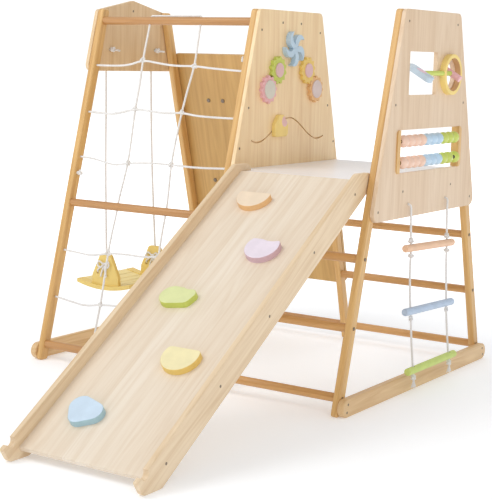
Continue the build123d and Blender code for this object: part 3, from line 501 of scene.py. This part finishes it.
def bead_paint(name, low, high, pitch):
    """Glossy beads: four peach, three blue, then green, by their place in the row, with dark painted shade
    round their bores.
    """
    n = Nodes(name)
    place = n.place()
    number = n.maths("DIVIDE", n.maths("SUBTRACT", n.axes(place)[1], low.y), pitch * BEADS_TOP)
    colour = n.ramp(number, (0.0, PEACH), (0.4, BLUE), (0.7, GREEN), constant=True)
    colour = n.clouded(colour, place, 70.0, 2.0, 0.94)
    # A dark disc round each bore: painted shade in the hole.
    bore = near(n, (low + high) / 2, BORE_R, "Y")
    n.link(n.mix(bore, colour, (*BORE_SHADE_DARK, 1)), n.shader.inputs["Base Color"])
    n.shader.inputs["Roughness"].default_value = 0.35
    n.shader.inputs["Coat Weight"].default_value = 0.3
    n.bump(n.noise(place, 420.0, 2.0), 0.08, 0.0003)
    return n.material


dress_wood()
dress_holds()
dress_gears()
dress_marked_toys()
dress_plain()
dress_bead_rows()


# ------------------------------------------------------------------ ropes
COTTON = rope_cotton()
DOWN = Vector((0, 0, -1))
STRANDS, ROUND_STEPS = 3, 15
STRAND_PITCH, VALLEY, LOBE = 0.026, 0.95, 0.12
ROUTE_ORDER, ROUTE_RESOLUTION, ROUTE_STEP = 3, 40, 0.0025
KNOT_STEPS, KNOT_DEPTH, KNOT_SQUEEZE = 66, 0.45, 0.9
NET_KNOT, LADDER_KNOT, SWING_KNOT, BOW_KNOT = 0.0086, 0.0080, 0.0085, 0.008
BOW_R, BOW_KNOT_R, FRAY_R = 0.0032, 0.0036, 0.0015


def route_line(points):
    """Points close together along the smooth NURBS curve that a route's points control."""
    curve = bpy.data.curves.new("route", "CURVE")
    curve.dimensions = "3D"
    spline = curve.splines.new("NURBS")
    spline.points.add(len(points) - 1)
    for control, point in zip(spline.points, points):
        control.co = (*point, 1.0)
    spline.order_u = ROUTE_ORDER
    spline.use_endpoint_u = True
    spline.resolution_u = ROUTE_RESOLUTION
    holder = bpy.data.objects.new("route", curve)
    bpy.context.scene.collection.objects.link(holder)
    bpy.context.view_layer.update()
    mesh = bpy.data.meshes.new_from_object(holder)
    line = [v.co.copy() for v in mesh.vertices]
    bpy.data.objects.remove(holder)
    bpy.data.curves.remove(curve)
    bpy.data.meshes.remove(mesh)
    spaced = [line[0]]
    for point in line[1:-1]:
        if (point - spaced[-1]).length >= ROUTE_STEP:
            spaced.append(point)
    return spaced + [line[-1]]


def length_of(line):
    return sum((b - a).length for a, b in zip(line, line[1:]))


def lay_tube(line, radius):
    """Vertices and faces of a three-strand rope twisted along a line, closed at both ends."""
    verts, faces = [], []
    side = None
    gone = 0.0
    for i, here in enumerate(line):
        ahead = (line[min(i + 1, len(line) - 1)] - line[max(i - 1, 0)]).normalized()
        if side is None:
            side = ahead.orthogonal().normalized()
        side = (side - ahead * side.dot(ahead)).normalized()
        other = ahead.cross(side)
        if i:
            gone += (here - line[i - 1]).length
        for k in range(ROUND_STEPS):
            turn = 2 * pi * k / ROUND_STEPS
            lobe = abs(cos(STRANDS / 2 * (turn - 2 * pi * gone / STRAND_PITCH)))
            r = radius * (VALLEY + LOBE * lobe)
            verts.append(here + side * (r * cos(turn)) + other * (r * sin(turn)))
    for i in range(len(line) - 1):
        for k in range(ROUND_STEPS):
            a, b = i * ROUND_STEPS + k, i * ROUND_STEPS + (k + 1) % ROUND_STEPS
            faces.append((a, b, b + ROUND_STEPS, a + ROUND_STEPS))
    faces.append(tuple(range(ROUND_STEPS))[::-1])
    faces.append(tuple(range((len(line) - 1) * ROUND_STEPS, len(line) * ROUND_STEPS)))
    return verts, faces


def mesh_object(name, parts, material):
    """One object from several sets of vertices and faces."""
    verts, faces = [], []
    for more_verts, more_faces in parts:
        start = len(verts)
        verts += [tuple(v) for v in more_verts]
        faces += [tuple(i + start for i in face) for face in more_faces]
    mesh = bpy.data.meshes.new(name)
    mesh.from_pydata(verts, [], faces)
    mesh.polygons.foreach_set("use_smooth", [len(f) == 4 for f in faces])
    mesh.materials.append(material)
    piece = bpy.data.objects.new(name, mesh)
    bpy.context.scene.collection.objects.link(piece)
    return piece


def rope(name, points, radius, nodes, body="root", joint=None):
    """A rope along its route in place of CAD nodes, put on a body; given a joint, it stays in the shared
    frame instead, and the joint's points are not used.
    """
    line = route_line(points)
    piece = mesh_object(name, [lay_tube(line, radius)], COTTON)
    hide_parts(*nodes)
    if joint:
        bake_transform(piece)
    else:
        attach(piece, body)
    tuple(line[0])
    round(length_of(line), 4)
    [tuple(p) for p in line[::2] + [line[-1]]]


def end_piece(name, parts, body, *nodes):
    """Knots and loose ends as one piece that rides on a body, in place of CAD nodes if any are named."""
    piece = mesh_object(name, parts, COTTON)
    if nodes:
        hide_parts(*nodes)
    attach(piece, body)


def knot_at(centre, ahead, size, radius, turn=0.0):
    """A tight overhand knot: a trefoil of rope drawn close, its axis along the rope."""
    ahead = ahead.normalized()
    side = Matrix.Rotation(turn, 3, ahead) @ ahead.orthogonal().normalized()
    other = ahead.cross(side)
    line = []
    for i in range(KNOT_STEPS + 1):
        t = 2 * pi * i / KNOT_STEPS
        u = (sin(t) + 2 * sin(2 * t)) / 3
        v = (cos(t) - 2 * cos(2 * t)) / 3
        w = -sin(3 * t) * KNOT_DEPTH
        line.append(centre + (side * u + ahead * v * KNOT_SQUEEZE + other * w) * size)
    return lay_tube(line, radius)


# The net's routes and knots as (x, z) in its own plane. Its uprights pass through holes in the rails, and
# the crown is the stretch of rope that lies on the top rail between them.
LEFT_VERTICAL = [
    (0.228, NET_TOP_Z), (0.2215, NET_TOP_Z), (0.222, 1.178), (0.220, 1.128), (0.219, 1.069), (0.224, 0.980),
    (0.222, 0.897), (0.229, 0.800), (0.233, 0.708), (0.227, 0.640), (0.221, 0.585), (0.221, 0.525),
    (0.217, 0.470), (0.215, 0.395), (0.219, 0.310), (0.222, 0.218), (0.219, 0.150), (0.221, 0.085),
    (0.221, 0.028),
]
RIGHT_VERTICAL = [
    (0.437, NET_TOP_Z), (0.4435, NET_TOP_Z), (0.443, 1.178), (0.446, 1.120), (0.448, 1.053), (0.436, 0.970),
    (0.428, 0.893), (0.423, 0.800), (0.421, 0.714), (0.428, 0.645), (0.434, 0.585), (0.434, 0.525),
    (0.433, 0.470), (0.436, 0.406), (0.443, 0.320), (0.445, 0.232), (0.443, 0.150), (0.444, 0.085),
    (0.444, 0.028),
]
NET_ROWS = [
    [(0.0124, 1.046), (0.097, 1.045), (0.164, 1.050), (0.219, 1.069), (0.297, 1.058), (0.370, 1.051),
     (0.448, 1.053), (0.536, 1.045), (0.6546, 1.040)],
    [(0.0124, 0.879), (0.066, 0.876), (0.136, 0.874), (0.222, 0.897), (0.290, 0.892), (0.365, 0.886),
     (0.428, 0.893), (0.508, 0.881), (0.6546, 0.882)],
    [(0.0124, 0.718), (0.066, 0.716), (0.127, 0.705), (0.177, 0.697), (0.233, 0.708), (0.334, 0.715),
     (0.421, 0.714), (0.545, 0.710), (0.6546, 0.716)],
    [(0.0124, 0.387), (0.065, 0.384), (0.145, 0.378), (0.215, 0.395), (0.312, 0.398), (0.375, 0.396),
     (0.436, 0.406), (0.545, 0.396), (0.6546, 0.398)],
    [(0.0124, 0.222), (0.082, 0.214), (0.154, 0.205), (0.222, 0.218), (0.300, 0.222), (0.372, 0.220),
     (0.445, 0.232), (0.545, 0.222), (0.6546, 0.226)],
]
NET_KNOTS = [
    (0.219, 1.069), (0.222, 0.897), (0.233, 0.708), (0.215, 0.395), (0.222, 0.218), (0.221, 0.028),
    (0.448, 1.053), (0.428, 0.893), (0.421, 0.714), (0.436, 0.406), (0.445, 0.232), (0.444, 0.028),
    (0.0216, 0.661), (0.6454, 1.079),
]
NET_CROWN_X = (0.227, 0.29, 0.35, 0.4, 0.438)
NET_KNOT_TURN, LADDER_KNOT_TURN = 1.1, 0.9


def net():
    for name, points in (("left", LEFT_VERTICAL), ("right", RIGHT_VERTICAL)):
        rope(f"net_{name}_vertical", [net_at(*p) for p in points], ROPE_R,
             ["net_verticals"])
    for number, points in enumerate(NET_ROWS):
        rope(f"net_row_{number + 1}", [net_at(*p) for p in points], ROPE_R,
             ["net_rows"])
    down = net_at(0, 0) - net_at(0, 1)
    ties = [knot_at(net_at(x, z), down, NET_KNOT, ROPE_R, i * NET_KNOT_TURN)
            for i, (x, z) in enumerate(NET_KNOTS)]
    crown = [net_at(x, NET_TOP_Z) for x in NET_CROWN_X]
    ties.append(lay_tube(route_line(crown), ROPE_R))
    end_piece("net_ties", ties, "root", "net_knots")


LADDER_RUNGS = {"peach": (1.254, 0.4815, -0.0075), "blue": (1.262, 0.274, -0.007),
                "green": (1.280, 0.085, 0.0)}
LADDER_ROPE_Y, LADDER_HOLE_Y, RUNG_HALF = 0.137, 0.140, 0.180
RUNG_TO_KNOT = 0.0245
FRAYED_STRANDS, FRAY_X, FRAY_TOP, FRAY_MIDDLE, FRAY_END = 6, 1.2838, 0.056, 0.042, 0.026


def rung_z(name, y):
    """The height of a rung's axis, which hangs a little aslant, at a place along it."""
    return LADDER_RUNGS[name][1] + LADDER_RUNGS[name][2] * y / RUNG_HALF


def frayed_end(y):
    """The loose strands below a ladder rope's last knot."""
    for k in range(FRAYED_STRANDS):
        turn = 2 * pi * k / FRAYED_STRANDS
        spread = 0.004 + 0.003 * (k % 3)
        strand = [(FRAY_X, y, FRAY_TOP),
                  (FRAY_X + 0.5 * spread * cos(turn), y + 0.5 * spread * sin(turn), FRAY_MIDDLE),
                  (FRAY_X + spread * cos(turn), y + 1.6 * spread * sin(turn), FRAY_END + 0.003 * (k % 2))]
        yield lay_tube(route_line([at(*p) for p in strand]), FRAY_R)


def ladder():
    knots = []
    for name, side in (("near", -1), ("far", 1)):
        y = side * LADDER_ROPE_Y
        hole_y = side * LADDER_HOLE_Y
        peach, blue, green = (rung_z(rung, y) for rung in ("peach", "blue", "green"))
        points = [
            (1.220, hole_y, 0.630), (1.243, hole_y, 0.630), (1.2485, hole_y - side * 0.001, 0.624),
            (1.249, y, 0.606), (1.250, y, 0.560), (1.2525, y, peach + 0.030), (1.254, y, peach),
            (1.2545, y + side * 0.0015, 0.400), (1.258, y + side * 0.002, 0.335), (1.262, y, blue),
            (1.267, y - side * 0.001, 0.205), (1.272, y - side * 0.001, 0.150), (1.280, y, green),
            (1.284, y + side * 0.001, 0.050),
        ]
        rope(f"ladder_{name}_rope", [at(*p) for p in points], ROPE_R,
             ["ladder_ropes", "ladder_rope_stubs"], "ladder", (at(1.249, y, 0.612), at(1.249, y, 0.596)))
        spots = [(1.2526, peach + RUNG_TO_KNOT), (1.2543, peach - RUNG_TO_KNOT),
                 (1.2636, blue - RUNG_TO_KNOT), (1.2823, green - RUNG_TO_KNOT)]
        for i, (x, z) in enumerate(spots):
            knots.append(knot_at(at(x, y, z), DOWN, LADDER_KNOT, ROPE_R * 0.95, i * LADDER_KNOT_TURN))
        knots.extend(frayed_end(y))
    end_piece("ladder_ties", knots, "ladder", "ladder_knots")


SWING_ROPE_Y, SEAT_ROPE_Y = 0.136, 0.150
BOW_X, BOW_Z, BOW_INSET = -0.012, 0.296, 0.0115


def bow(side):
    """The bow that ties a swing rope to the seat's side plate: knot, two loops, two ends, and the eye."""
    face = side * SEAT_ROPE_Y - BOW_INSET
    yield knot_at(at(BOW_X, face, BOW_Z), DOWN, BOW_KNOT, BOW_KNOT_R)
    lines = []
    for way in (-1, 1):
        lines.append([(BOW_X, face, BOW_Z), (BOW_X + way * 0.020, face - 0.004, 0.318),
                      (BOW_X + way * 0.030, face - 0.005, 0.300),
                      (BOW_X + way * 0.018, face - 0.004, 0.284), (BOW_X, face, BOW_Z)])
        lines.append([(BOW_X, face, 0.294), (BOW_X + way * 0.008, face - 0.003, 0.276),
                      (BOW_X + way * 0.013, face - 0.003, 0.252)])
    lines.append([(-0.020, face, 0.292), (-0.034, face - 0.002, 0.284), (-0.046, face, 0.272),
                  (-0.046, face + 0.012, 0.266)])
    for line in lines:
        yield lay_tube(route_line([at(*p) for p in line]), BOW_R)


def swing():
    inner, bows = [], []
    for name, side in (("near", -1), ("far", 1)):
        y = side * SWING_ROPE_Y
        points = [
            (-0.010, y, 1.104), (-0.0324, y, 1.104), (-0.0314, y + side * 0.0004, 1.076),
            (-0.0314, y, 1.016), (-0.0284, y + side * 0.002, 0.860), (-0.0254, y + side * 0.006, 0.680),
            (-0.018, y + side * 0.010, 0.500), (-0.010, side * SEAT_ROPE_Y, 0.350),
            (-0.010, side * SEAT_ROPE_Y, 0.325),
        ]
        rope(f"swing_{name}_rope", [at(*p) for p in points], SWING_ROPE_R,
             ["swing_ropes", "swing_rope_stubs"], "swing", (at(-0.0314, y, 1.022), at(-0.0314, y, 1.008)))
        inner.append(knot_at(at(0.0, y, 1.104), Vector((1, 0, 0)), SWING_KNOT, SWING_ROPE_R))
        tail = [(0.004, y + 0.004, 1.101), (0.016, y + 0.006, 1.103), (0.030, y + 0.005, 1.100)]
        inner.append(lay_tube(route_line([at(*p) for p in tail]), SWING_ROPE_R * 0.9))
        bows.extend(bow(side))
    end_piece("swing_top_knots", inner, "root")
    end_piece("swing_bows", bows, "swing")


net()
ladder()
swing()


# ------------------------------------------------------------------ studio
# The floor glows a little, and more from GLOW_FROM on over GLOW_REACH metres, so that it fades to white.
FLOOR_HALF, FLOOR_GLOW, FAR_GLOW, GLOW_FROM, GLOW_REACH = 14.0, 0.24, 0.6, 1.3, 3.0
# The sky that lights the scene, and the one that the camera sees.
SKY, BACKDROP = 0.62, 1.1
WHITE = (1.0, 1.0, 1.0)
AIM = Vector((0.1, -0.1, 0.55))
LIGHTS = (
    ("key", (-2.2, -3.0, 4.6), 3.2, 105.0, (1.0, 0.985, 0.96)),
    ("fill", (4.4, -3.2, 3.0), 3.5, 45.0, WHITE),
    ("back", (-1.0, 4.0, 4.2), 3.5, 45.0, WHITE),
)


def lay_floor():
    floor = bpy.data.meshes.new("floor")
    corners = ((-1, -1), (1, -1), (1, 1), (-1, 1))
    floor.from_pydata([(x * FLOOR_HALF, y * FLOOR_HALF, 0) for x, y in corners], [], [(0, 1, 2, 3)])
    n = Nodes("floor_paper")
    place = n.place()
    grey = n.ramp(n.noise(place, 3.0), (0.0, (0.86, 0.885, 0.92)), (1.0, (0.88, 0.905, 0.94)))
    n.link(grey, n.shader.inputs["Base Color"])
    n.shader.inputs["Roughness"].default_value = 0.8
    n.shader.inputs["Emission Color"].default_value = (*WHITE, 1.0)
    reach = n.add("ShaderNodeVectorMath", operation="LENGTH")
    n.link(place, reach.inputs[0])
    away = n.step(reach.outputs["Value"], GLOW_FROM, GLOW_REACH)
    glow = n.maths("ADD", n.maths("MULTIPLY", away, FAR_GLOW), FLOOR_GLOW)
    n.link(glow, n.shader.inputs["Emission Strength"])
    floor.materials.append(n.material)
    ground = bpy.data.objects.new("floor", floor)
    bpy.context.scene.collection.objects.link(ground)
    ground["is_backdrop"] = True


def raise_sky():
    world = bpy.data.worlds.new("studio")
    world.use_nodes = True
    nodes, links = world.node_tree.nodes, world.node_tree.links
    lit, seen = nodes["Background"], nodes.new("ShaderNodeBackground")
    for sky, strength in ((lit, SKY), (seen, BACKDROP)):
        sky.inputs["Color"].default_value = (*WHITE, 1.0)
        sky.inputs["Strength"].default_value = strength
    rays = nodes.new("ShaderNodeLightPath")
    choose = nodes.new("ShaderNodeMixShader")
    links.new(rays.outputs["Is Camera Ray"], choose.inputs[0])
    links.new(lit.outputs[0], choose.inputs[1])
    links.new(seen.outputs[0], choose.inputs[2])
    links.new(choose.outputs[0], nodes["World Output"].inputs[0])
    bpy.context.scene.world = world


def hang_lights():
    for name, place, size, power, colour in LIGHTS:
        data = bpy.data.lights.new(name, "AREA")
        data.size = size
        data.energy = power
        data.color = colour
        lamp = bpy.data.objects.new(name, data)
        lamp.location = place
        lamp.rotation_euler = (AIM - Vector(place)).to_track_quat("-Z", "Y").to_euler()
        bpy.context.scene.collection.objects.link(lamp)


lay_floor()
raise_sky()
hang_lights()
bpy.context.scene.view_settings.view_transform = "Standard"

boxes = {"cad": CAD_BOX, "visual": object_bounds()}
{k: [list(corner) for corner in v] for k, v in boxes.items()}
